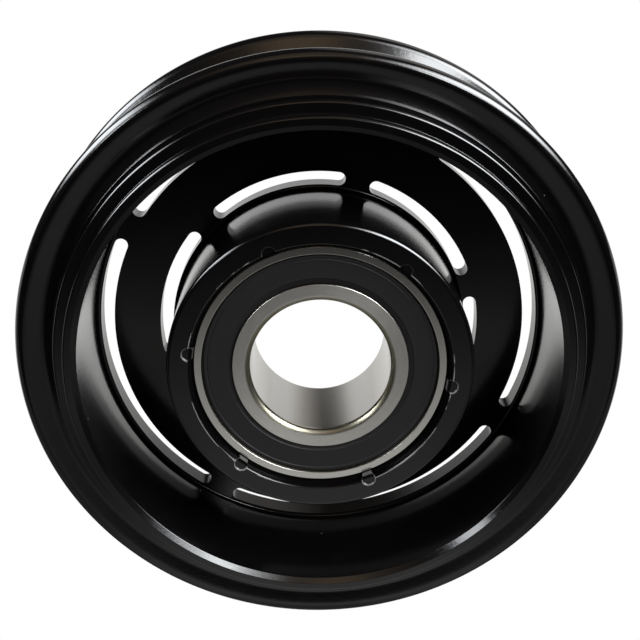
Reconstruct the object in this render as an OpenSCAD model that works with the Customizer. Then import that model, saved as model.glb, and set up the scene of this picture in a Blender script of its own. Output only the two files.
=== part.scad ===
// Rotor and pulley of an electromagnetic clutch, with its sealed double-row ball bearing.
// The wheel stands up: it turns about Y. The coil side (rear) faces -Y, the friction face (front) +Y.
// Origin: centre of the bearing bore, halfway along the bearing.

/* [Belt rim] */
// Outside diameter of the two belt flanges
rim_od = 132; // [130:0.5:134]
// Radius of the rounded flange tips
tip_round = 2; // [1.6:0.1:2]
// Number of belt grooves
groove_count = 6; // [4:1:6]
// Distance from groove to groove
groove_pitch = 3.56; // [3.52:0.01:3.6]
// Angle between the two walls of a groove
groove_angle = 40; // [36:1:42]
// Diameter over the ribs between the grooves
rib_tip_d = 124.6; // [124:0.1:125]
// Diameter at the bottom of the grooves
groove_root_d = 118.8; // [118.4:0.1:119.2]
// Middle of the belt track along the axis, from the bearing's middle
track_mid = 8.05; // [7.8:0.05:8.3]
// Mouth radius of the armature recess in the front of the rim
recess_mouth_r = 60.2; // [59:0.1:61]

/* [Rotor] */
// Diameter of the seat where the rim is pressed on
rim_seat_d = 113.6; // [113.2:0.1:114]
// Inside diameter of the coil cavity
cavity_d = 102.8; // [102.4:0.1:103.2]
// Outside diameter of the hub
hub_od = 65.4; // [65:0.1:65.8]
// How far the hub stands out behind the bearing
hub_proud = 2; // [1.6:0.1:2.4]
// How far the rear lip stands out behind the bearing
lip_proud = 2.9; // [2.6:0.1:3.2]
// Distance from the bearing's rear face to the inside of the friction disc
disc_inside = 24.3; // [24:0.1:24.6]
// Thickness of the friction disc
disc_thick = 4.6; // [4.2:0.1:5]
// Diameter of the opening in front of the bearing
front_opening_d = 51; // [50:0.5:52]

/* [Slots] */
// Inner radius of the four outer slots
outer_slot_r0 = 47.3; // [47:0.1:47.5]
// Outer radius of the four outer slots
outer_slot_r1 = 50.4; // [50:0.1:50.5]
// Angle from end to end of one outer slot
outer_slot_span = 82.6; // [80:0.2:84]
// Middle of the first outer slot, counted from +X towards +Z
outer_slot_at = 15.1; // [0:0.1:45]
// Inner radius of the six inner slots
inner_slot_r0 = 33.7; // [33.7:0.05:34.3]
// Outer radius of the six inner slots
inner_slot_r1 = 36.7; // [36.6:0.05:37.2]
// Angle from end to end of one inner slot
inner_slot_span = 50.9; // [48:0.1:52]
// Middle of the first inner slot, counted from +X towards +Z
inner_slot_at = 45.2; // [30:0.1:60]

/* [Stakes] */
// Number of punch marks that hold the bearing in
stake_count = 6; // [3:1:8]
// Angle of the first punch mark, counted from +X towards +Z
stake_at = 51.4; // [0:0.1:60]
// Radius of the punch
stake_r = 1.7; // [1.4:0.1:1.9]

/* [Bearing] */
// Bore of the bearing
bearing_bore_d = 30; // [29.9:0.1:30.1]
// Outside diameter of the bearing
bearing_od = 55; // [54.9:0.1:55.1]
// Width of the bearing
bearing_w = 23; // [22.8:0.1:23.2]
// Outside diameter of the inner ring's shoulders
inner_shoulder_d = 37.6; // [37.4:0.1:38.2]
// Inside diameter of the outer ring's shoulders
outer_shoulder_d = 47.8; // [47.6:0.1:48]
// Diameter of the circle through the ball centres
ball_pitch_d = 42.7; // [42.65:0.01:42.75]
// Diameter of a ball
ball_d = 7.144; // [7.1:0.01:7.16]
// Distance between the two rows of balls
row_gap = 9.2; // [9:0.1:9.4]
// Gap between a ball and the bottom of each race
ball_clearance = 0.05; // [0.03:0.01:0.08]

/* [Hidden] */
// Number of balls in each row
ball_count = 14;
$fn = 96;
overlap = 0.05;                      // how far a corner piece reaches past its corner
through = 1;                         // how far a cutter reaches past what it cuts
rear = -1;                           // the side of a bearing part, as the sign of its Y
front = 1;

// Rotor
half_w = bearing_w / 2;
rear_y = -half_w;                    // the bearing's rear face
seat_r = bearing_od / 2;
seat_y0 = rear_y + 0.1;
lead_in_r = seat_r + 0.75;           // the wider mouth behind the bearing's seat
lead_in_y = rear_y - 0.05;
hub_r = hub_od / 2;
hub_y = rear_y - hub_proud;
lip_y = rear_y - lip_proud;
disc_y0 = rear_y + disc_inside;
disc_y1 = disc_y0 + disc_thick;      // the friction face
cavity_r = cavity_d / 2;
rim_seat_r = rim_seat_d / 2;
lip_r = rim_seat_r - 2.5;
step_y = lip_y + 2.84;               // the step from the lip out to the rim's seat
opening_r = front_opening_d / 2;
lip_bevel = 1;
disc_bevel = 1;
opening_bevel = 0.5;
slot_end_trim = 0.01;                // a slot's end circles are this much smaller in radius

// Stakes
stake_circle_r = 28.2;
punch_floor_y = rear_y - 0.75;
bulge_r = stake_r - 0.15;
bulge_inner_r = seat_r - 0.4;
bulge_y0 = rear_y - 0.9;
bulge_y1 = rear_y - 0.02;

// Pulley rim
rim_r = rim_od / 2;
rib_r = rib_tip_d / 2;
root_r = groove_root_d / 2;
flank = groove_angle / 2;
root_half = 0.25;                    // half the width of a groove's flat bottom
tip_centre_r = rim_r - tip_round;
tangent_r = tip_centre_r + tip_round * sin(flank);  // where a flange's tip meets its groove wall
tangent_dy = tip_round * cos(flank);
half_track = (groove_count - 1) / 2 * groove_pitch + root_half
  + (tangent_r - root_r) * tan(flank) + tangent_dy;
tip_y0 = track_mid - half_track;     // centre of the rear flange's tip
tip_y1 = track_mid + half_track;     // centre of the front flange's tip
rim_y0 = tip_y0 - tip_round;
rim_y1 = tip_y1 + tip_round;
wall_half = root_half + (rib_r - root_r) * tan(flank);  // the walls carried on to rib_r
mouth_half = wall_half - 0.12;       // half a groove's width at its mouth
wall_top_depth = 0.3;                // from the mouth down to the top of the sloped wall
wall_top_half = wall_half - wall_top_depth * tan(flank);
collar_r = rim_seat_r + 0.7;
collar_y = rim_y0 - 1.6;
collar_bevel = 0.2;
rim_bore_y1 = disc_y1 - 0.6;
// The rear flange's dished face: (outwards from collar_r, forwards from rim_y0)
dished_face = [[0, 0.35], [0.6, 0.35], [1.7, 0.78], [2.7, 0.77], [3.7, 0.63]];

// Bearing
bore_r = bearing_bore_d / 2;
ball_r = ball_d / 2;
pitch_r = ball_pitch_d / 2;
race_r = ball_d * 0.52;
race_in_r = pitch_r - ball_r - ball_clearance + race_r;   // centre of the inner race's section
race_out_r = pitch_r + ball_r + ball_clearance - race_r;  // centre of the outer race's section
row_y = row_gap / 2;
shoulder_in_r = inner_shoulder_d / 2;
shoulder_out_r = outer_shoulder_d / 2;
outer_bevel = 0.6;                   // outside edges of the outer ring
inner_bevel = 0.2;                   // shoulder edges of the inner ring
bore_round = 1.4;
cage_r0 = 20.1;
cage_r1 = 22.6;
cage_start = 2.9;                    // from the bearing's middle
cage_w = 6.4;
pocket_r = ball_r + 0.148;
seal_seat_r = 25.14;
seal_lip_r = shoulder_in_r + 0.05;
plate_r0 = 20.3;
plate_r1 = 24.7;
plate_depth0 = 0.95;                 // below the bearing's face
plate_depth1 = 1.45;

// Bearing outlines: (radius, depth below the bearing's face)
// One end of the outer ring, from its outside in to the shoulder, with the seal's groove
outer_ring_end = [
  [seat_r, outer_bevel], [seat_r - outer_bevel, 0], [25.45, 0],
  [seal_seat_r, 0.3], [seal_seat_r, 0.7], [25.55, 0.8], [25.55, 1.55],
  [seal_seat_r, 1.85], [24.9, 1.9], [shoulder_out_r, 1.9]];
seal_outline = [
  [plate_r0, plate_depth1], [19.6, 1.6], [seal_lip_r, 1.65], [seal_lip_r, 1.2],
  [19.9, 1.1], [20.1, 0.45], [24.55, 0.45], [24.85, 0.65], [25.1, 0.8], [25.5, 0.85],
  [25.5, 1.5], [25.1, 1.75], [plate_r1, 1.75], [plate_r1, plate_depth0],
  [plate_r0, plate_depth0]];
plate_outline = [
  [plate_r0, plate_depth0], [plate_r1, plate_depth0], [plate_r1, 1.8], [24.2, 1.8],
  [24.2, plate_depth1], [plate_r0, plate_depth1]];

// A bearing outline as (radius, y) on the given side.
function on_side(side, outline) = [for (p = outline) [p[0], side * (half_w - p[1])]];

function reversed(list) = [for (i = [len(list) - 1 : -1 : 0]) list[i]];

// A section drawn as (radius, position along the axis), turned about Y.
module about_axis() rotate([-90, 0, 0]) rotate_extrude() children();

// A flat shape drawn in (x, -z), extruded along Y from y0 to y1.
module along_axis(y0, y1)
  rotate([-90, 0, 0]) translate([0, 0, y0]) linear_extrude(y1 - y0) children();

// The square corner at (x, y) less its quarter circle. sx and sy point away from the corner.
module corner(x, y, sx, sy, r)
  difference() {
    translate([sx > 0 ? x - overlap : x - r, sy > 0 ? y - overlap : y - r])
      square(r + overlap);
    translate([x + sx * r, y + sy * r]) circle(r);
  }

// One curved slot with round ends, cut through the disc. The ends are slightly
// narrower than the slot, so that no two curves only touch.
module slot(r0, r1, middle, span) {
  end_r = (r1 - r0) / 2;
  mid_r = (r0 + r1) / 2;
  half_arc = span / 2 - asin(end_r / mid_r);  // to the centre of an end circle
  reach = r1 * 1.6;
  ends = [-middle - half_arc, -middle + half_arc];
  along_axis(disc_y0 - through, disc_y1 + through) union() {
    intersection() {
      difference() {
        circle(r1);
        circle(r0);
      }
      polygon([[0, 0], for (a = [ends[0], -middle, ends[1]]) reach * [cos(a), sin(a)]]);
    }
    for (a = ends)
      translate([mid_r * cos(a), mid_r * sin(a)]) circle(end_r - slot_end_trim, $fn = 32);
  }
}

module slot_ring(count, r0, r1, first, span)
  for (k = [0 : count - 1]) slot(r0, r1, first + k * 360 / count, span);

module rotor_section()
  difference() {
    union() {
      polygon([
        [lead_in_r, hub_y], [hub_r, hub_y], [hub_r, disc_y0], [cavity_r, disc_y0],
        [cavity_r, lip_y + lip_bevel], [cavity_r + lip_bevel, lip_y],
        [lip_r, lip_y], [lip_r, step_y], [rim_seat_r, step_y],
        [rim_seat_r, disc_y1 - disc_bevel], [rim_seat_r - disc_bevel, disc_y1],
        [opening_r + opening_bevel, disc_y1], [opening_r, disc_y1 - opening_bevel],
        [opening_r, half_w], [seat_r, half_w], [seat_r, seat_y0], [lead_in_r, lead_in_y]]);
      corner(hub_r, disc_y0, 1, -1, r = 0.9);
      corner(cavity_r, disc_y0, -1, -1, r = 0.7);
    }
    corner(hub_r, hub_y, -1, 1, r = 0.45);
    corner(lead_in_r, hub_y, 1, 1, r = 0.2);
    corner(lip_r, lip_y, -1, 1, r = 0.25);
    corner(rim_seat_r, step_y, -1, 1, r = 0.35);
  }

// Metal pushed in by one punch, up to the corner of the bearing's edge.
module stake_bulge(a)
  along_axis(bulge_y0, bulge_y1) difference() {
    translate([stake_circle_r * cos(a), -stake_circle_r * sin(a)]) circle(bulge_r, $fn = 32);
    circle(bulge_inner_r);
  }

module punch_mark(a)
  translate([stake_circle_r * cos(a), 0, stake_circle_r * sin(a)]) rotate([-90, 0, 0])
    translate([0, 0, hub_y - through])
      cylinder(r = stake_r, h = punch_floor_y - hub_y + through, $fn = 32);

module rotor() color([0.05, 0.05, 0.052]) {
  stake_angles = [for (k = [0 : stake_count - 1]) stake_at + k * 360 / stake_count];
  difference() {
    union() {
      about_axis() rotor_section();
      for (a = stake_angles) stake_bulge(a);
    }
    for (a = stake_angles) punch_mark(a);
    slot_ring(4, outer_slot_r0, outer_slot_r1, outer_slot_at, outer_slot_span);
    slot_ring(6, inner_slot_r0, inner_slot_r1, inner_slot_at, inner_slot_span);
  }
}

// Both walls of every groove, from the rear flange to the front one. The outermost
// two walls run on into the flanges, so they have no mouth points.
groove_line = [for (i = [0 : groove_count - 1])
  let (c = track_mid + (i - (groove_count - 1) / 2) * groove_pitch)
  each concat(
    i == 0 ? [] : [[rib_r, c - mouth_half], [rib_r - wall_top_depth, c - wall_top_half]],
    [[root_r, c - root_half], [root_r, c + root_half]],
    i == groove_count - 1 ? []
      : [[rib_r - wall_top_depth, c + wall_top_half], [rib_r, c + mouth_half]])];

module pulley_section()
  difference() {
    union() {
      polygon(concat(
        [[rim_seat_r, collar_y + collar_bevel], [rim_seat_r + collar_bevel, collar_y],
         [collar_r - collar_bevel, collar_y], [collar_r, collar_y + collar_bevel]],
        [for (p = dished_face) [collar_r + p[0], rim_y0 + p[1]]],
        [[tip_centre_r - 0.3, rim_y0 + 0.15], [tangent_r, tip_y0 + tangent_dy]],
        groove_line,
        [[tangent_r, tip_y1 - tangent_dy], [tip_centre_r, rim_y1], [recess_mouth_r, rim_y1],
         [rim_seat_r + 0.9, disc_y1 + 0.5], [rim_seat_r + 0.4, rim_bore_y1],
         [rim_seat_r, rim_bore_y1 - 0.4]]));
      for (y = [tip_y0, tip_y1]) translate([tip_centre_r, y]) circle(tip_round);
      corner(collar_r, rim_y0 + dished_face[0][1], 1, -1, r = 0.5);
    }
    corner(recess_mouth_r, rim_y1, 1, -1, r = 0.5);
  }

module pulley_rim() color([0.045, 0.045, 0.047]) about_axis() pulley_section();

module races(centre_r) for (s = [rear, front]) translate([centre_r, s * row_y]) circle(race_r);

module bearing_outer_ring() color([0.62, 0.61, 0.58]) about_axis()
  difference() {
    polygon(concat(on_side(front, outer_ring_end), reversed(on_side(rear, outer_ring_end))));
    races(race_out_r);
  }

module bearing_inner_ring() color([0.64, 0.62, 0.58]) about_axis()
  difference() {
    polygon([
      [bore_r, -half_w], [shoulder_in_r - inner_bevel, -half_w],
      [shoulder_in_r, -half_w + inner_bevel], [shoulder_in_r, half_w - inner_bevel],
      [shoulder_in_r - inner_bevel, half_w], [bore_r, half_w]]);
    for (s = [rear, front]) corner(bore_r, s * half_w, 1, -s, r = bore_round);
    races(race_in_r);
  }

module seal(side) color([0.03, 0.03, 0.03]) about_axis() polygon(on_side(side, seal_outline));

module seal_plate(side) color([0.5, 0.5, 0.5]) about_axis()
  polygon(on_side(side, plate_outline));

module rear_seal() seal(rear);
module rear_seal_plate() seal_plate(rear);
module front_seal() seal(front);
module front_seal_plate() seal_plate(front);

// Where ball i of a row stands. The front row's balls stand between the rear row's.
function ball_angle(side, i) = (i + (side == front ? 0.5 : 0)) * 360 / ball_count;

module cage(side) color([0.75, 0.68, 0.5])
  difference() {
    about_axis() translate([cage_r0, side == front ? cage_start : -cage_start - cage_w])
      square([cage_r1 - cage_r0, cage_w]);
    for (i = [0 : ball_count - 1])
      rotate([0, -ball_angle(side, i), 0]) translate([cage_r0 - through, side * row_y, 0])
        rotate([0, 90, 0])
          cylinder(r = pocket_r, h = cage_r1 - cage_r0 + 2 * through, $fn = 48);
  }

module rear_cage() cage(rear);
module front_cage() cage(front);

module ball(side, i) color([0.8, 0.8, 0.82]) {
  a = ball_angle(side, i);
  translate([pitch_r * cos(a), side * row_y, pitch_r * sin(a)]) sphere(ball_r, $fn = 48);
}

rotor();
pulley_rim();
bearing_outer_ring();
bearing_inner_ring();
rear_seal();
rear_seal_plate();
front_seal();
front_seal_plate();
rear_cage();
front_cage();
ball(rear, 0);  // rear_ball_01
ball(rear, 1);  // rear_ball_02
ball(rear, 2);  // rear_ball_03
ball(rear, 3);  // rear_ball_04
ball(rear, 4);  // rear_ball_05
ball(rear, 5);  // rear_ball_06
ball(rear, 6);  // rear_ball_07
ball(rear, 7);  // rear_ball_08
ball(rear, 8);  // rear_ball_09
ball(rear, 9);  // rear_ball_10
ball(rear, 10);  // rear_ball_11
ball(rear, 11);  // rear_ball_12
ball(rear, 12);  // rear_ball_13
ball(rear, 13);  // rear_ball_14
ball(front, 0);  // front_ball_01
ball(front, 1);  // front_ball_02
ball(front, 2);  // front_ball_03
ball(front, 3);  // front_ball_04
ball(front, 4);  // front_ball_05
ball(front, 5);  // front_ball_06
ball(front, 6);  // front_ball_07
ball(front, 7);  // front_ball_08
ball(front, 8);  // front_ball_09
ball(front, 9);  // front_ball_10
ball(front, 10);  // front_ball_11
ball(front, 11);  // front_ball_12
ball(front, 12);  // front_ball_13
ball(front, 13);  // front_ball_14
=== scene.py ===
# A grooved belt pulley: a slotted rotor, a rim pressed round it and a two-row ball bearing inside.
# It turns about Y, its rear face looks along -Y at the camera, and +Z is up.
# Sections and outlines are in mm and become metres when a mesh is built.
import math
import random

import bmesh
import bpy
from mathutils import Matrix, Vector


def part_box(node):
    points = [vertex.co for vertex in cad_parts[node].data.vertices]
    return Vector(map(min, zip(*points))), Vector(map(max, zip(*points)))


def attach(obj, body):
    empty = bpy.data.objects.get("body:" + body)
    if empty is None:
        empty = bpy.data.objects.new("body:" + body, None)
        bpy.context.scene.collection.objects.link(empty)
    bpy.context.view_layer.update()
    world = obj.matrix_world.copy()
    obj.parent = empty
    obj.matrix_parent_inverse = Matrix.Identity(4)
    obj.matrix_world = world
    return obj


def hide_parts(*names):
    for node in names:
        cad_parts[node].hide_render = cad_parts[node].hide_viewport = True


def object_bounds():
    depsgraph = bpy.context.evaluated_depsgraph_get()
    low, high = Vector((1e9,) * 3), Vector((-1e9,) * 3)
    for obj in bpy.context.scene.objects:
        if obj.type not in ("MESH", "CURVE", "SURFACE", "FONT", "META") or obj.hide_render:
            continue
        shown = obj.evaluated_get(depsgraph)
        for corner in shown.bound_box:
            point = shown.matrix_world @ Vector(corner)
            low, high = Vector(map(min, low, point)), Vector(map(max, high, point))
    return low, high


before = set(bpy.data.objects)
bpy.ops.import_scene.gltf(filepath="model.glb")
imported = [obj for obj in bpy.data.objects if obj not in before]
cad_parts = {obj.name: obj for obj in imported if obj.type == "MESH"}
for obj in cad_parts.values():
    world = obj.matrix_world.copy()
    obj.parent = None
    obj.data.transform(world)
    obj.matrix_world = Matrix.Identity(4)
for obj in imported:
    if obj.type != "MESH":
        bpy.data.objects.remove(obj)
cad_box = [[float(c) for c in v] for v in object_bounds()]
MM = 0.001
random.seed(11)

# ---------------------------------------------------------------- sizes read from the parts in model.glb
bearing_low, bearing_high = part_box("bearing_inner_ring")
rim_low, rim_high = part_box("pulley_rim")
rotor_low, rotor_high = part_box("rotor")
REAR = bearing_low.y / MM       # the bearing's end faces
FRONT = bearing_high.y / MM
RIM_R = rim_high.x / MM
RIM_REAR = rim_low.y / MM
RIM_FRONT = rim_high.y / MM
SEAT_R = rotor_high.x / MM      # radius where the rim sits on the rotor
LIP_REAR = rotor_low.y / MM     # rear face of the rotor's outer wall
DISC_FRONT = rotor_high.y / MM

# ---------------------------------------------------------------- rotor sizes
DISC_REAR = DISC_FRONT - 4.6
HUB_REAR = LIP_REAR + 0.9
OPENING_R = 28.1                # opening behind the bearing
HUB_R = 32.7
CAVITY_R = 51.4
LIP_R = SEAT_R - 2.5
LIP_STEP = LIP_REAR + 2.84
SLOT_RINGS = [                  # count, first centre (degrees), half span, inner and outer radius
    (4, 15.1, 41.3, 47.3, 50.4),
    (6, 45.2, 25.45, 33.7, 36.7)]
SLOT_OVERSHOOT = 1.5            # cutter beyond each disc face
STAKE_STEP = 60
STAKES = [51.4 + STAKE_STEP * k for k in range(6)]  # punch marks, in degrees

# ---------------------------------------------------------------- rim sizes
BEAD_R = 2.0                    # round edge at each side of the belt track
BEAD_CENTRE_R = RIM_R - BEAD_R
REAR_BEAD_Y = RIM_REAR + 1.6 + BEAD_R
FRONT_BEAD_Y = RIM_FRONT - BEAD_R
TRACK_Y = 8.05                  # middle of the grooves
GROOVES = 6
PITCH = 3.56
ROOT_R, RIB_R = 59.4, 62.3
ROOT_HALF = 0.25                # half width of a groove's floor
FLANK = 20                      # groove wall and radius, in degrees
MOUTH_HALF = ROOT_HALF + (RIB_R - ROOT_R) * math.tan(math.radians(FLANK))
DISH_START = 16                 # lean where the dish leaves the bead, in degrees
# The dished rear face from the bead inwards: radius, lean in degrees.
DISH = [
    (BEAD_CENTRE_R - BEAD_R * math.sin(math.radians(DISH_START)), -DISH_START),
    (63.0, -17.2), (62.6, -18), (61.0, -18), (60.6, -16), (60.2, -6),
    (59.8, 1), (59.2, 8), (58.6, 14), (SEAT_R + 0.7, 18)]
DISH_STEPS = 3

# ---------------------------------------------------------------- bearing sizes
BEARING_R = 27.5
BORE_R = 15.0
INNER_SHOULDER_R = 18.8
OUTER_SHOULDER_R = 23.9
BALL_R = 7.144 / 2
BALL_CIRCLE_R = 21.35
BALL_ROW_Y = 4.6                # each row's distance from the middle
BALL_GAP = 0.05
RACE_R = 7.144 * 0.52
INNER_RACE_CENTRE = BALL_CIRCLE_R - BALL_R - BALL_GAP + RACE_R
OUTER_RACE_CENTRE = BALL_CIRCLE_R + BALL_R + BALL_GAP - RACE_R


# ---------------------------------------------------------------- outlines
def polar(radius, angle):
    return radius * math.cos(math.radians(angle)), radius * math.sin(math.radians(angle))


def arc(centre, radius, start, sweep, steps):
    """Points from start through sweep, both in degrees, with both ends."""
    points = []
    for i in range(steps + 1):
        across, along = polar(radius, start + sweep * i / steps)
        points.append((centre[0] + across, centre[1] + along))
    return points


def rounded(points, step=9.0):
    """A closed section of (radius, y) or (radius, y, fillet) with corners rounded by arcs."""
    section = []
    for i, point in enumerate(points):
        corner = Vector(point[:2])
        back = Vector(points[i - 1][:2]) - corner
        ahead = Vector(points[(i + 1) % len(points)][:2]) - corner
        shortest = min(back.length, ahead.length)
        back.normalize()
        ahead.normalize()
        fillet = point[2] if len(point) == 3 else 0
        angle = math.acos(max(-1, min(1, back.dot(ahead))))
        turn = math.pi - angle
        if fillet <= 0 or turn < math.radians(1.5):
            section.append((corner.x, corner.y))
            continue
        # a fillet too big for its edges shrinks to fit
        reach = min(fillet / math.tan(angle / 2), 0.48 * shortest)
        fillet = reach * math.tan(angle / 2)
        centre = corner + (back + ahead).normalized() * (fillet / math.sin(angle / 2))
        first = corner + back * reach - centre
        last = corner + ahead * reach - centre
        start = math.atan2(first.y, first.x)
        sweep = math.atan2(last.y, last.x) - start
        sweep = (sweep + math.pi) % (2 * math.pi) - math.pi
        steps = max(2, math.ceil(math.degrees(turn) / step))
        for j in range(steps + 1):
            w = start + sweep * j / steps
            section.append((centre.x + fillet * math.cos(w), centre.y + fillet * math.sin(w)))
    return section


def mirrored(points):
    """Section points reflected front to rear, in reverse so that the outline runs on."""
    return [(r, -y, *fillet) for r, y, *fillet in reversed(points)]


def slot_outline(inner_r, outer_r, centre, half_span, step=1.5):
    """An annular slot with round ends, in degrees from +X towards +Z."""
    end_r, middle_r = (outer_r - inner_r) / 2, (inner_r + outer_r) / 2
    trim = math.degrees(math.asin(end_r / middle_r))
    start, end = centre - half_span + trim, centre + half_span - trim
    steps = max(4, round((end - start) / step))
    return (arc((0, 0), outer_r, start, end - start, steps)
            + arc(polar(middle_r, end), end_r, end, 180, 12)[1:-1]
            + arc((0, 0), inner_r, end, start - end, steps)
            + arc(polar(middle_r, start), end_r, start + 180, 180, 12)[1:-1])


# ---------------------------------------------------------------- meshes
def mesh_object(name, verts, faces):
    """A linked object with its faces pointing out."""
    mesh = bpy.data.meshes.new(name)
    mesh.from_pydata(verts, [], faces)
    mesh.update()
    part = bpy.data.objects.new(name, mesh)
    bpy.context.scene.collection.objects.link(part)
    bm = bmesh.new()
    bm.from_mesh(mesh)
    bmesh.ops.recalc_face_normals(bm, faces=bm.faces)
    if bm.calc_volume(signed=True) < 0:
        bmesh.ops.reverse_faces(bm, faces=bm.faces)
    bm.to_mesh(mesh)
    bm.free()
    return part


def lathe(name, section, segments=360):
    """A closed section of (radius, y) turned about Y."""
    area = sum(section[i - 1][0] * section[i][1] - section[i][0] * section[i - 1][1]
               for i in range(len(section)))
    if area < 0:
        section = section[::-1]
    verts, faces, count = [], [], len(section)
    for k in range(segments):
        turn = 2 * math.pi * k / segments
        c, s = math.cos(turn), math.sin(turn)
        verts += [(r * c * MM, y * MM, r * s * MM) for r, y in section]
        here, beyond = k * count, (k + 1) % segments * count
        for i in range(count):
            j = (i + 1) % count
            faces.append((here + i, beyond + i, beyond + j, here + j))
    return mesh_object(name, verts, faces)


def loft(rear, rear_y, front, front_y):
    """(verts, faces) of a solid between two (x, z) outlines of equal length."""
    n = len(rear)
    verts = [(x * MM, rear_y * MM, z * MM) for x, z in rear]
    verts += [(x * MM, front_y * MM, z * MM) for x, z in front]
    faces = [tuple(range(n)), tuple(reversed(range(n, 2 * n)))]
    faces += [(i, n + i, n + (i + 1) % n, (i + 1) % n) for i in range(n)]
    return verts, faces


def gather(name, solids):
    verts, faces = [], []
    for solid_verts, solid_faces in solids:
        offset = len(verts)
        verts += solid_verts
        faces += [tuple(i + offset for i in face) for face in solid_faces]
    return mesh_object(name, verts, faces)


def bake_modifiers(part):
    depsgraph = bpy.context.evaluated_depsgraph_get()
    mesh = bpy.data.meshes.new_from_object(part.evaluated_get(depsgraph))
    part.modifiers.clear()
    part.data = mesh


def boolean(part, tool, operation):
    modifier = part.modifiers.new("cut", "BOOLEAN")
    modifier.operation = operation
    modifier.solver = "EXACT"
    modifier.object = tool
    bake_modifiers(part)
    bpy.data.objects.remove(tool)


def bevel_edges(part, width, segments):
    modifier = part.modifiers.new("edge", "BEVEL")
    modifier.width = width * MM
    modifier.segments = segments
    modifier.limit_method = "ANGLE"
    modifier.angle_limit = math.radians(35)
    modifier.use_clamp_overlap = True
    bake_modifiers(part)


def smooth(part):
    """Cleans the mesh, then smooth shading with flat faces kept flat."""
    bm = bmesh.new()
    bm.from_mesh(part.data)
    bmesh.ops.remove_doubles(bm, verts=bm.verts, dist=2e-7)
    bmesh.ops.dissolve_degenerate(bm, dist=1e-7, edges=bm.edges)
    bm.to_mesh(part.data)
    bm.free()
    part.data.shade_smooth()
    part.data.set_sharp_from_angle(angle=math.radians(32))
    modifier = part.modifiers.new("normals", "WEIGHTED_NORMAL")
    modifier.mode = "FACE_AREA"
    modifier.weight = 90
    modifier.keep_sharp = True
    bake_modifiers(part)


# ---------------------------------------------------------------- rotor
def stake_lip(angle):
    """Metal pushed in by one punch: a disc cut off where the bearing's edge begins."""
    c, s = polar(1, angle)
    outline = []
    for outwards, around in arc((0, 0), 1.4, 0, 360, 24)[:-1]:
        r = max(27.2, OPENING_R + outwards)
        outline.append((r * c - around * s, r * s + around * c))
    return loft(outline, HUB_REAR + 0.65, outline, REAR - 0.03)


def stake_pit(angle):
    """The tapered hole one punch leaves."""
    centre = polar(OPENING_R, angle)
    return loft(arc(centre, 1.6, 0, 360, 40)[:-1], HUB_REAR - 0.35,
                arc(centre, 1.35, 0, 360, 40)[:-1], HUB_REAR + 0.6)


def build_rotor():
    rotor = lathe("rotor_casting", rounded([  # radius, y, fillet
        (OPENING_R, HUB_REAR, 0.22), (HUB_R, HUB_REAR, 0.95), (HUB_R, DISC_REAR, 0.9),
        (40.0, DISC_REAR, 0), (44.0, DISC_REAR, 0),
        (CAVITY_R, DISC_REAR, 0.7), (CAVITY_R, LIP_REAR + 0.86, 0.2),
        (CAVITY_R + 1.15, LIP_REAR, 0.2), (LIP_R, LIP_REAR, 0.5),
        (LIP_R, LIP_STEP, 0.05), (SEAT_R, LIP_STEP, 0.5),
        (SEAT_R, DISC_FRONT - 1, 0.2), (SEAT_R - 1, DISC_FRONT, 0.2),
        (44.0, DISC_FRONT, 0), (40.0, DISC_FRONT, 0),
        (26.0, DISC_FRONT, 0.15), (25.5, DISC_FRONT - 0.5, 0.15), (25.5, FRONT, 0.15),
        (BEARING_R, FRONT, 0), (BEARING_R, REAR + 0.1, 0), (OPENING_R, REAR - 0.05, 0.05)]))
    boolean(rotor, gather("lips", [stake_lip(angle) for angle in STAKES]), "UNION")
    cuts = []
    for count, first, half_span, inner_r, outer_r in SLOT_RINGS:
        for k in range(count):
            outline = slot_outline(inner_r, outer_r, first + 360 / count * k, half_span)
            cuts.append(loft(outline, DISC_REAR - SLOT_OVERSHOOT,
                             outline, DISC_FRONT + SLOT_OVERSHOOT))
    cuts += [stake_pit(angle) for angle in STAKES]
    boolean(rotor, gather("slots", cuts), "DIFFERENCE")
    bevel_edges(rotor, width=0.22, segments=3)
    smooth(rotor)
    return rotor


# ---------------------------------------------------------------- belt rim
def dish_points(r, y):
    """The dished rear face, walked inwards from (r, y) by its lean and given inside first."""
    points = [(r, y)]
    for (outer_r, outer_lean), (inner_r, inner_lean) in zip(DISH, DISH[1:]):
        for j in range(DISH_STEPS):
            width = (outer_r - inner_r) / DISH_STEPS
            lean = outer_lean + (inner_lean - outer_lean) * (j + 0.5) / DISH_STEPS
            r -= width
            y -= width * math.tan(math.radians(lean))
            points.append((r, y))
    return points[::-1]


def build_rim():
    flank_start = 90 - FLANK    # where a bead runs into a groove wall, in degrees
    rear_start = -90 - DISH_START
    rear_bead = arc((BEAD_CENTRE_R, REAR_BEAD_Y), BEAD_R, rear_start, flank_start - rear_start, 17)
    front_bead = arc((BEAD_CENTRE_R, FRONT_BEAD_Y), BEAD_R, -flank_start, flank_start + 90, 15)
    section = [(SEAT_R, RIM_REAR, 0.1), (SEAT_R + 0.7, RIM_REAR, 0.15)]
    section += dish_points(*rear_bead[0]) + rear_bead[1:]
    for i in range(GROOVES):
        centre = TRACK_Y + (i - (GROOVES - 1) / 2) * PITCH
        if i > 0:
            section.append((RIB_R, centre - MOUTH_HALF, 0.22))
        section += [(ROOT_R, centre - ROOT_HALF, 0.18), (ROOT_R, centre + ROOT_HALF, 0.18)]
        if i < GROOVES - 1:
            section.append((RIB_R, centre + MOUTH_HALF, 0.22))
    section += front_bead
    section += [(60.2, RIM_FRONT, 0.5), (SEAT_R + 0.9, DISC_FRONT + 0.5, 0.4),
                (SEAT_R + 0.4, DISC_FRONT - 0.6, 0.1), (SEAT_R, DISC_FRONT - 1.0, 0)]
    rim = lathe("belt_rim", rounded(section))
    smooth(rim)
    return rim


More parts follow.
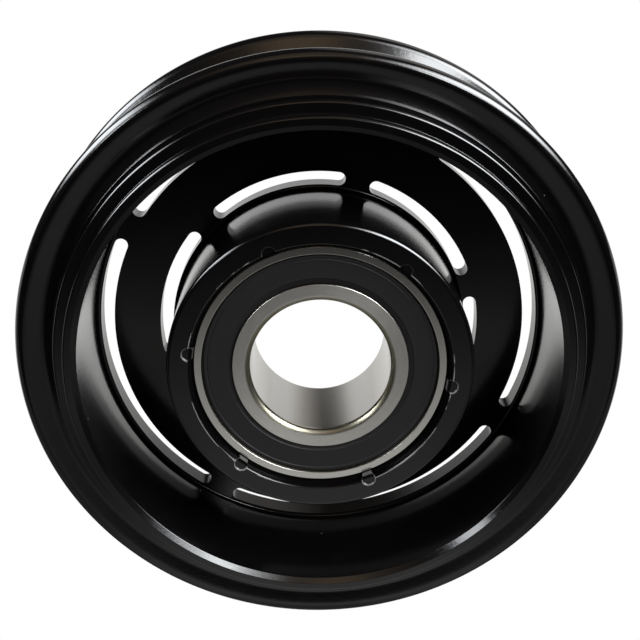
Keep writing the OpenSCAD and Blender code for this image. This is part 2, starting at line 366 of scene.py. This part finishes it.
# ---------------------------------------------------------------- bearing rings and seals
def build_inner_ring():
    half_arc = math.degrees(math.acos((INNER_RACE_CENTRE - INNER_SHOULDER_R) / RACE_R))
    section = [(BORE_R, FRONT, 1.4), (BORE_R, REAR, 1.4),
               (INNER_SHOULDER_R - 0.07, REAR, 0.03), (INNER_SHOULDER_R, REAR + 0.07, 0.03)]
    for y in (-BALL_ROW_Y, BALL_ROW_Y):
        section += arc((INNER_RACE_CENTRE, y), RACE_R, 180 + half_arc, -2 * half_arc, 20)
    section += [(INNER_SHOULDER_R, FRONT - 0.07, 0.03), (INNER_SHOULDER_R - 0.07, FRONT, 0.03)]
    ring = lathe("inner_ring_steel", rounded(section, step=8))
    smooth(ring)
    return ring


def build_outer_ring():
    half_arc = math.degrees(math.acos((OUTER_SHOULDER_R - OUTER_RACE_CENTRE) / RACE_R))
    chamfer = [(BEARING_R, FRONT - 0.6, 0.15), (BEARING_R - 0.6, FRONT, 0.15)]
    # the seal's groove and the race of the front half
    inside = [(25.45, FRONT, 0.1), (25.14, FRONT - 0.3, 0.1), (25.14, FRONT - 0.7, 0),
              (25.55, FRONT - 0.8, 0), (25.55, FRONT - 1.55, 0), (25.14, FRONT - 1.85, 0),
              (24.9, FRONT - 1.9, 0), (OUTER_SHOULDER_R, FRONT - 1.9, 0.1)]
    inside += arc((OUTER_RACE_CENTRE, BALL_ROW_Y), RACE_R, half_arc, -2 * half_arc, 20)
    section = mirrored(chamfer) + chamfer + inside + mirrored(inside)
    ring = lathe("outer_ring_steel", rounded(section, step=8))
    smooth(ring)
    return ring


# Seal section: radius, depth below the bearing's end face, fillet. It has a lip on the inner
# ring, shallow steps in its face and a bead in the outer ring's groove.
SEAL = [
    (20.3, 1.45, 0), (19.6, 1.6, 0.1), (INNER_SHOULDER_R + 0.05, 1.65, 0.05),
    (INNER_SHOULDER_R + 0.05, 0.78, 0.06), (19.2, 0.74, 0.2), (19.95, 0.58, 0.06),
    (20.05, 0.45, 0.06), (24.05, 0.45, 0.04), (24.12, 0.52, 0.04), (24.22, 0.52, 0.04),
    (24.3, 0.45, 0.04), (24.9, 0.45, 0.06), (25.0, 0.66, 0.04), (25.1, 0.62, 0.02),
    (25.5, 0.88, 0.1), (25.5, 1.5, 0.1), (25.1, 1.75, 0), (24.7, 1.75, 0),
    (24.7, 0.95, 0), (20.3, 0.95, 0)]


def build_seal(name, side):
    """A moulded seal; side is -1 for the rear and 1 for the front."""
    section = [(r, side * (FRONT - depth), fillet) for r, depth, fillet in SEAL]
    seal = lathe(name, rounded(section, step=12))
    smooth(seal)
    return seal


rotor = build_rotor()
rim = build_rim()
inner_ring = build_inner_ring()
outer_ring = build_outer_ring()
rear_seal = build_seal("rear_rubber_seal", -1)
front_seal = build_seal("front_rubber_seal", 1)

for piece, body, node, slot in (
        (rotor, "wheel", "rotor", "black_coat"),
        (rim, "wheel", "pulley_rim", "black_coat"),
        (outer_ring, "wheel", "bearing_outer_ring", "bearing_steel"),
        (inner_ring, "inner_ring", "bearing_inner_ring", "bearing_steel"),
        (rear_seal, "wheel", "rear_seal", "seal_rubber"),
        (front_seal, "wheel", "front_seal", "seal_rubber")):
    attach(piece, body)
    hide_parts(node)


# ---------------------------------------------------------------- node graphs
class Value:
    """A node's output; arithmetic on it adds Math nodes."""

    def __init__(self, graph, socket):
        self.graph = graph
        self.socket = socket

    def output(self, name):
        """Another output of the same node."""
        return Value(self.graph, self.socket.node.outputs[name])

    def __add__(self, other):
        return self.graph.math("ADD", self, other)

    def __radd__(self, other):
        return self.graph.math("ADD", other, self)

    def __sub__(self, other):
        return self.graph.math("SUBTRACT", self, other)

    def __rsub__(self, other):
        return self.graph.math("SUBTRACT", other, self)

    def __mul__(self, other):
        return self.graph.math("MULTIPLY", self, other)

    def __truediv__(self, other):
        return self.graph.math("DIVIDE", self, other)


class Graph:
    """A short way to write the node tree of a material or world."""

    def __init__(self, owner):
        self.owner = owner
        owner.use_nodes = True
        self.tree = owner.node_tree
        self.tree.nodes.clear()

    def add(self, kind, inputs, **properties):
        node = self.tree.nodes.new("ShaderNode" + kind)
        for key, value in properties.items():
            setattr(node, key, value)
        for key, value in inputs.items():
            socket = node.inputs[key]
            if isinstance(value, Value):
                self.tree.links.new(value.socket, socket)
            elif socket.type == "RGBA":
                socket.default_value = (*value, 1)
            else:
                socket.default_value = value
        return node

    def node(self, kind, inputs=None, output=0, **properties):
        return Value(self, self.add(kind, inputs or {}, **properties).outputs[output])

    def math(self, operation, a, b=0.0, clamp=False):
        return self.node("Math", {0: a, 1: b, 2: 0.0}, operation=operation, use_clamp=clamp)

    def mix(self, amount, a, b):
        """A blend of two colours."""
        return self.node("Mix", {0: amount, 6: a, 7: b}, output=2, data_type="RGBA")

    def lerp(self, amount, a, b):
        """A blend of two numbers."""
        return self.node("Mix", {0: amount, 2: a, 3: b}, data_type="FLOAT")

    def ramp(self, value, start, end, low=0.0, high=1.0):
        """Eases from low at start to high at end."""
        return self.node("MapRange", {"Value": value, "From Min": start, "From Max": end,
                                      "To Min": low, "To Max": high},
                         clamp=True, interpolation_type="SMOOTHSTEP")

    def fade(self, length, start, end, low=0.0, high=1.0):
        """A ramp over a length, with its ends in mm."""
        return self.ramp(length, start * MM, end * MM, low, high)

    def band(self, length, centre, outer, inner):
        """1 within inner mm of the centre, falling to 0 at outer mm."""
        return self.fade(self.math("ABSOLUTE", length - centre * MM), outer, inner)

    def vector(self, x, y, z):
        return self.node("CombineXYZ", {"X": x, "Y": y, "Z": z})

    def place(self):
        return self.node("TexCoord", output="Object")

    def noise(self, vector, scale, detail=2.0, roughness=0.5):
        return self.node("TexNoise", {"Vector": vector, "Scale": scale, "Detail": detail,
                                      "Roughness": roughness}, output="Fac")

    def bump(self, height, strength, distance, normal=None):
        inputs = {"Height": height, "Strength": strength, "Distance": distance}
        if normal is not None:
            inputs["Normal"] = normal
        return self.node("Bump", inputs)

    def finish(self, shader, kind="OutputMaterial"):
        self.add(kind, {"Surface": shader})
        return self.owner


class TurnedGraph(Graph):
    """A graph with the position about the Y axis ready."""

    def __init__(self, owner):
        super().__init__(owner)
        self.position = self.place()
        x = self.node("SeparateXYZ", {"Vector": self.position})
        self.y, self.z = x.output("Y"), x.output("Z")
        self.radius = self.math("SQRT", x * x + self.z * self.z)
        self.angle = self.math("ARCTAN2", self.z, x)

    def ring_noise(self, across, along, detail=2, roughness=0.5):
        """Noise drawn out round the axis: across per metre, along per radian."""
        stretched = self.vector(self.radius * across, self.y * across, self.angle * along)
        return self.noise(stretched, 1.0, detail, roughness)


# ---------------------------------------------------------------- materials
def stake_wear_and_painted_light(g):
    """(bare metal with painted highlight, painted shade) masks: paint broken at the punch marks
    and hub edge, its pale outlines partly painted highlight, and gloss taken off as painted shade.
    """
    step = math.radians(STAKE_STEP)
    shift = 20 * step - math.radians(STAKES[0]) + step / 2
    turn = g.math("MODULO", g.angle + shift, step) - step / 2
    outwards = g.radius * g.math("COSINE", turn) - OPENING_R * MM
    around = g.radius * g.math("SINE", turn)
    # distance from the nearest punch mark, with a ragged edge
    away = g.math("SQRT", outwards * outwards + around * around)
    away = away + (g.noise(g.position, scale=900) - 0.5) * 0.00012
    near_face = g.fade(g.y, HUB_REAR + 0.9, HUB_REAR + 0.7)
    # pale outlines round each punch mark and along the hub edge: bare metal, partly painted
    # highlight
    ring = g.band(away, centre=1.48, outer=0.13, inner=0.05) * near_face
    chord = (g.band(g.radius, centre=27.25, outer=0.11, inner=0.05)
             * g.fade(away, 1.5, 1.3, high=0.45))
    edge = (g.band(g.radius, centre=28.33, outer=0.12, inner=0.05)
            * g.fade(g.y, HUB_REAR + 0.3, HUB_REAR + 0.15))
    patches = g.noise(g.vector(g.angle * 1.6, 3.7, 0.0), scale=1.0, detail=4, roughness=0.7)
    patchy = g.ramp(patches, 0.50, 0.56)
    # painted highlight: the outlines are bright low down and faint on top, as the light catches
    # them
    highlight_low_side = g.fade(g.z, 16, 0, low=0.08, high=0.55)
    bare_and_highlight = g.math("MAXIMUM", g.math("MAXIMUM", ring, chord) * highlight_low_side, edge * patchy)
    # painted shade: gloss taken off the opening's wall, a deep recess, and off the upper half of
    # the cavity mouth's chamfer
    well_shade = (g.fade(g.radius, OPENING_R + 0.04, OPENING_R - 0.02)
            * g.fade(g.y, HUB_REAR + 0.2, HUB_REAR + 0.4))
    mouth_shade = (g.fade(g.radius, CAVITY_R + 1.3, CAVITY_R + 1.1)
             * g.fade(g.radius, CAVITY_R - 0.1, CAVITY_R))
    mouth_shade = mouth_shade * (g.fade(g.y, LIP_REAR + 1.1, LIP_REAR + 0.9) * g.fade(g.z, 0, 20))
    return bare_and_highlight, g.math("MAXIMUM", well_shade, mouth_shade * 0.9)


def black_coat(name, worn_with_painted_light=False):
    g = TurnedGraph(bpy.data.materials.new(name))
    # film thickness and gloss drift slowly over the surface
    drift = g.noise(g.position, scale=38, detail=3)
    grain = g.noise(g.position, scale=1100, detail=3, roughness=0.6)
    # the turned steel prints through the paint as faint rings
    rings = g.ring_noise(across=5200, along=0.9)
    # settled dust: a few pale specks, in one cell out of twenty
    cells = g.node("TexVoronoi", {"Vector": g.position, "Scale": 300.0, "Randomness": 1.0},
                   feature="F1")
    chosen = g.node("SeparateColor", {"Color": cells.output("Color")})
    speck = g.ramp(cells, 0.075, 0.045) * g.math("GREATER_THAN", chosen, 0.95)
    haze = g.ramp(g.noise(g.position, scale=120, detail=4, roughness=0.65), 0.52, 0.78)
    colour = g.mix(drift, (0.0008, 0.0007, 0.0008), (0.0016, 0.0014, 0.0015))
    colour = g.mix(haze * 0.003, colour, (0.20, 0.19, 0.18))
    colour = g.mix(speck * 0.12, colour, (0.30, 0.29, 0.28))
    roughness = 0.10 + (drift * 0.04 + haze * 0.03)
    roughness = g.math("ADD", roughness, speck * 0.4, clamp=True)
    normal = g.bump(grain, strength=0.05, distance=0.0002)
    normal = g.bump(rings, strength=0.05, distance=0.00005, normal=normal)
    normal = g.bump(speck, strength=0.3, distance=0.00005, normal=normal)
    metallic, gloss = 0.0, 0.5
    if worn_with_painted_light:
        bare_and_highlight, gloss_shade = stake_wear_and_painted_light(g)
        # pale bare metal at the punch marks and hub edge, partly painted highlight
        colour = g.mix(bare_and_highlight, colour, (0.20, 0.195, 0.19))
        # painted shade: less gloss in the opening and on the top of the mouth chamfer
        gloss = 0.5 - gloss_shade * 0.45
        roughness = g.lerp(bare_and_highlight, roughness, 0.38)
        metallic = bare_and_highlight * 0.6
    return g.finish(g.node("BsdfPrincipled", {
        "Base Color": colour, "Roughness": roughness, "Normal": normal, "IOR": 1.5,
        "Metallic": metallic, "Specular IOR Level": gloss}))


def ground_steel(name, base, spread, stretch, relief, pale):
    """Base and spread set the roughness, stretch the anisotropy, pale lightens the colours."""
    def paler(*colour):
        return tuple(c + pale for c in colour)

    g = TurnedGraph(bpy.data.materials.new(name))
    # grinding runs round the ring: long in angle, fine in radius
    lines = g.ring_noise(across=9000, along=14, detail=3, roughness=0.6)
    coarse = g.ring_noise(across=1800, along=3)
    cloud = g.noise(g.position, scale=140, detail=3)
    # the bore chamfer is darkened and tinted straw yellow, which dims its reflections
    chamfer = g.fade(g.radius, 16.3, 15.9) * g.fade(g.math("ABSOLUTE", g.y), 10.2, 10.7)
    colour = g.mix(lines, paler(0.50, 0.485, 0.45), paler(0.70, 0.685, 0.645))
    colour = g.mix(coarse * 0.35, colour, paler(0.44, 0.42, 0.39))
    colour = g.mix(chamfer * g.lerp(cloud, 0.6, 0.95), colour, (0.105, 0.095, 0.042))
    # painted shade: dark at the outer ring's inside, in the seal's groove, and at the inner ring's
    # outside, beside the seal
    outer_groove_shade = g.fade(g.radius, 23.6, 23.8) * g.fade(g.radius, 25.46, 25.38)
    inner_edge_shade = g.fade(g.radius, 18.74, 18.78) * g.fade(g.radius, 19.2, 19.0)
    seal_edge_shade = g.math("MAXIMUM", outer_groove_shade, inner_edge_shade)
    colour = g.mix(seal_edge_shade, colour, (0.014, 0.013, 0.010))
    # the bore is honed finer than the faces
    bore = g.fade(g.radius, 15.3, 15.1)
    roughness = base + (lines * spread + cloud * 0.03)
    roughness = g.lerp(seal_edge_shade, g.lerp(bore, roughness, 0.14), 0.45)
    colour = g.mix(bore * 0.24, colour, (0.02, 0.02, 0.02))
    normal = g.bump(lines, strength=relief, distance=0.00003)
    normal = g.bump(coarse, strength=relief * 0.6, distance=0.00006, normal=normal)
    # the lines blur a reflection across them and leave it sharp along them
    along = g.node("Tangent", direction_type="RADIAL", axis="Y")
    return g.finish(g.node("BsdfPrincipled", {
        "Base Color": colour, "Metallic": 1.0, "Roughness": roughness, "Normal": normal,
        "Tangent": along, "Anisotropic": g.lerp(bore, stretch, 0.75),
        "Anisotropic Rotation": 0.25}))


def rubber(name):
    g = Graph(bpy.data.materials.new(name))
    place = g.place()
    grain = g.noise(place, scale=2600, detail=4, roughness=0.7)
    cloud = g.noise(place, scale=130, detail=3)
    return g.finish(g.node("BsdfPrincipled", {
        "Base Color": g.mix(cloud, (0.0028, 0.0024, 0.0027), (0.0045, 0.0039, 0.0042)),
        "Roughness": 0.42 + grain * 0.2,
        "Normal": g.bump(grain, strength=0.25, distance=0.00003),
        "IOR": 1.5, "Specular IOR Level": 0.28}))


def metal(name, base, roughness, scale):
    g = Graph(bpy.data.materials.new(name))
    place = g.place()
    grain = g.noise(place, scale=scale, detail=3, roughness=0.6)
    cloud = g.noise(place, scale=200)
    return g.finish(g.node("BsdfPrincipled", {
        "Base Color": g.mix(cloud, base, tuple(c * 0.8 for c in base)),
        "Metallic": 1.0, "Roughness": roughness + grain * 0.08,
        "Normal": g.bump(grain, strength=0.08, distance=0.00002)}))


def nylon(name):
    g = Graph(bpy.data.materials.new(name))
    grain = g.noise(g.place(), scale=900, detail=3, roughness=0.6)
    return g.finish(g.node("BsdfPrincipled", {
        "Base Color": g.mix(grain, (0.66, 0.56, 0.36), (0.76, 0.67, 0.47)),
        "Roughness": 0.42, "Normal": g.bump(grain, strength=0.1, distance=0.00004),
        "Subsurface Weight": 0.15, "Subsurface Radius": (0.002, 0.0015, 0.001)}))


def dress(part, material):
    part.data.materials.clear()
    part.data.materials.append(material)


rotor_coat = black_coat("black_coat_rotor", worn_with_painted_light=True)
rim_coat = black_coat("black_coat_rim")
steel = ground_steel("ground_bearing_steel", base=0.26, spread=0.12, stretch=0.45,
                     relief=0.07, pale=0.02)
honed = ground_steel("honed_bearing_steel", base=0.12, spread=0.05, stretch=0.1,
                     relief=0.025, pale=0.10)
seal_rubber = rubber("seal_rubber_black")
plate = metal("bare_plate_steel", base=(0.50, 0.50, 0.50), roughness=0.32, scale=2500)
ball = metal("ball_steel_polished", base=(0.80, 0.80, 0.82), roughness=0.04, scale=4000)
cage = nylon("cage_nylon_natural")

for piece, material in ((rotor, rotor_coat), (rim, rim_coat), (inner_ring, steel),
                        (outer_ring, honed), (rear_seal, seal_rubber), (front_seal, seal_rubber)):
    dress(piece, material)
for name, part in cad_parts.items():
    matches = [m for word, m in (("plate", plate), ("cage", cage), ("ball", ball)) if word in name]
    dress(part, matches[0] if matches else steel)

# ---------------------------------------------------------------- floor
# How bright the floor is in reflections: y in metres, brightness. The dip close to the part is a
# painted contact shadow.
FLOOR_GLOW = [
    (-0.50, 0.012), (-0.40, 0.016), (-0.331, 0.03), (-0.264, 0.055), (-0.229, 0.09),
    (-0.193, 0.14), (-0.161, 0.23), (-0.133, 0.32), (-0.111, 0.38), (-0.094, 0.44),
    (-0.075, 0.50), (-0.03, 0.60), (-0.014, 0.62), (-0.007, 0.18), (0.0, 0.10),
    (0.018, 0.12), (0.035, 0.5), (0.06, 0.9)]


def floor_material():
    """Plain white to the camera; other rays meet a glow with painted shadow next to the part and
    painted shade in front and at the sides.
    """
    g = Graph(bpy.data.materials.new("white_floor"))
    x = g.node("SeparateXYZ", {"Vector": g.node("NewGeometry", output="Position")})
    y = x.output("Y")
    curve = g.node("ValToRGB", {"Fac": g.math("ADD", y, 0.5, clamp=True)})
    ramp = curve.socket.node.color_ramp
    ramp.interpolation = "LINEAR"
    while len(ramp.elements) < len(FLOOR_GLOW):
        ramp.elements.new(0.5)
    for element, (stop_y, level) in zip(ramp.elements, FLOOR_GLOW):
        element.position = 0.5 + stop_y
        element.color = (level, level, level * 0.98, 1)
    sideways = g.math("ABSOLUTE", x)
    # painted shade on the glow beside the part and at its front corners
    side_shade = (g.ramp(sideways, 0.025, 0.07)
              * (g.ramp(y, -0.15, -0.09) * g.ramp(y, 0.03, -0.01)))
    glow = g.mix(side_shade * 0.62, curve, (0, 0, 0))
    corner_shade = g.ramp(sideways, 0.095, 0.13) * g.ramp(y, -0.06, -0.10)
    glow = g.mix(corner_shade * 0.93, glow, (0, 0, 0))
    return g.finish(g.node("MixShader", {
        0: g.node("LightPath", output="Is Camera Ray"),
        1: g.node("Emission", {"Color": glow, "Strength": 1.0}),
        2: g.node("Emission", {"Color": (1, 1, 1), "Strength": 1.0})}))


scene = bpy.context.scene
scene.view_settings.view_transform = "Standard"
scene.view_settings.look = "None"
bpy.ops.mesh.primitive_grid_add(x_subdivisions=8, y_subdivisions=8, size=8,
                                location=(0, 0, cad_box[0][2]))
floor = bpy.context.object
floor.name = "studio_floor"
dress(floor, floor_material())

# ---------------------------------------------------------------- world
# Oval panels: azimuth from -Y towards +X, elevation, half width, half height (all in degrees),
# radiance, edge softness.
PANELS = [
    (0, 52, 30, 22, (0.55, 0.43, 0.30), 0.6),
    (145, 48, 28, 22, (1.2, 1.15, 1.1), 0.6),
    (60, 38.5, 33, 16.5, (24.0, 24.6, 25.2), 0.5),
    (-85, 32, 29, 11.5, (18.5, 19.2, 20.0), 0.5),
    (26.5, 27.0, 7.5, 5.0, (22.0, 22.5, 23.0), 0.3),
    (-41, 21, 6, 4.5, (12.0, 12.4, 12.8), 0.4),
    (-3, 33.5, 9, 6, (1.1, 0.80, 0.50), 0.5)]


def build_world():
    """A dark room with soft panels and a white sheet behind the part; the camera sees white."""
    scene.world = bpy.data.worlds.new("studio")
    g = Graph(scene.world)
    x = g.node("SeparateXYZ", {"Vector": g.node("TexCoord", output="Generated")})
    y = x.output("Y")
    azimuth = g.math("ARCTAN2", x, y * -1.0) * (180 / math.pi)
    elevation = g.math("ARCSINE", x.output("Z")) * (180 / math.pi)
    sheet = g.ramp(y, 0.80, 0.92) * g.ramp(elevation, 27.0, 14.0)
    room = g.mix(sheet, (0.035, 0.030, 0.026), (1.0, 1.0, 1.0))
    for centre, height, half_width, half_height, radiance, edge in PANELS:
        u = (azimuth - centre) / half_width
        v = (elevation - height) / half_height
        reach = g.math("SQRT", u * u + v * v)
        room = g.mix(g.ramp(reach, 1 + edge, 1 - edge), room, radiance)
    view = g.mix(g.node("LightPath", output="Is Camera Ray"), room, (1.0, 1.0, 1.0))
    g.finish(g.node("Background", {"Color": view, "Strength": 1.0}), kind="OutputWorld")


build_world()

# ---------------------------------------------------------------- camera
CAMERA_ELEVATION = math.radians(21.58)
CAMERA_AZIMUTH = math.radians(-0.61)   # from -Y towards +X
CAMERA_ROLL = math.radians(-0.63)
CAMERA_DISTANCE = 238.37184
CAMERA_TARGET = (0.0, REAR, 10.904684)


def build_camera():
    data = bpy.data.cameras.new("camera")
    data.sensor_width = 36
    data.lens = 64.040625
    data.clip_start = 0.005
    data.clip_end = 20
    camera = bpy.data.objects.new("camera", data)
    scene.collection.objects.link(camera)
    level = math.cos(CAMERA_ELEVATION)
    back = Vector((math.sin(CAMERA_AZIMUTH) * level, -math.cos(CAMERA_AZIMUTH) * level,
                   math.sin(CAMERA_ELEVATION)))
    right = (-back).cross(Vector((0, 0, 1))).normalized()
    up = right.cross(-back)
    c, s = math.cos(CAMERA_ROLL), math.sin(CAMERA_ROLL)
    axes = Matrix((right * c + up * s, up * c - right * s, back)).transposed().to_4x4()
    axes.translation = (Vector(CAMERA_TARGET) + back * CAMERA_DISTANCE) * MM
    camera.matrix_world = axes
    scene.camera = camera


build_camera()
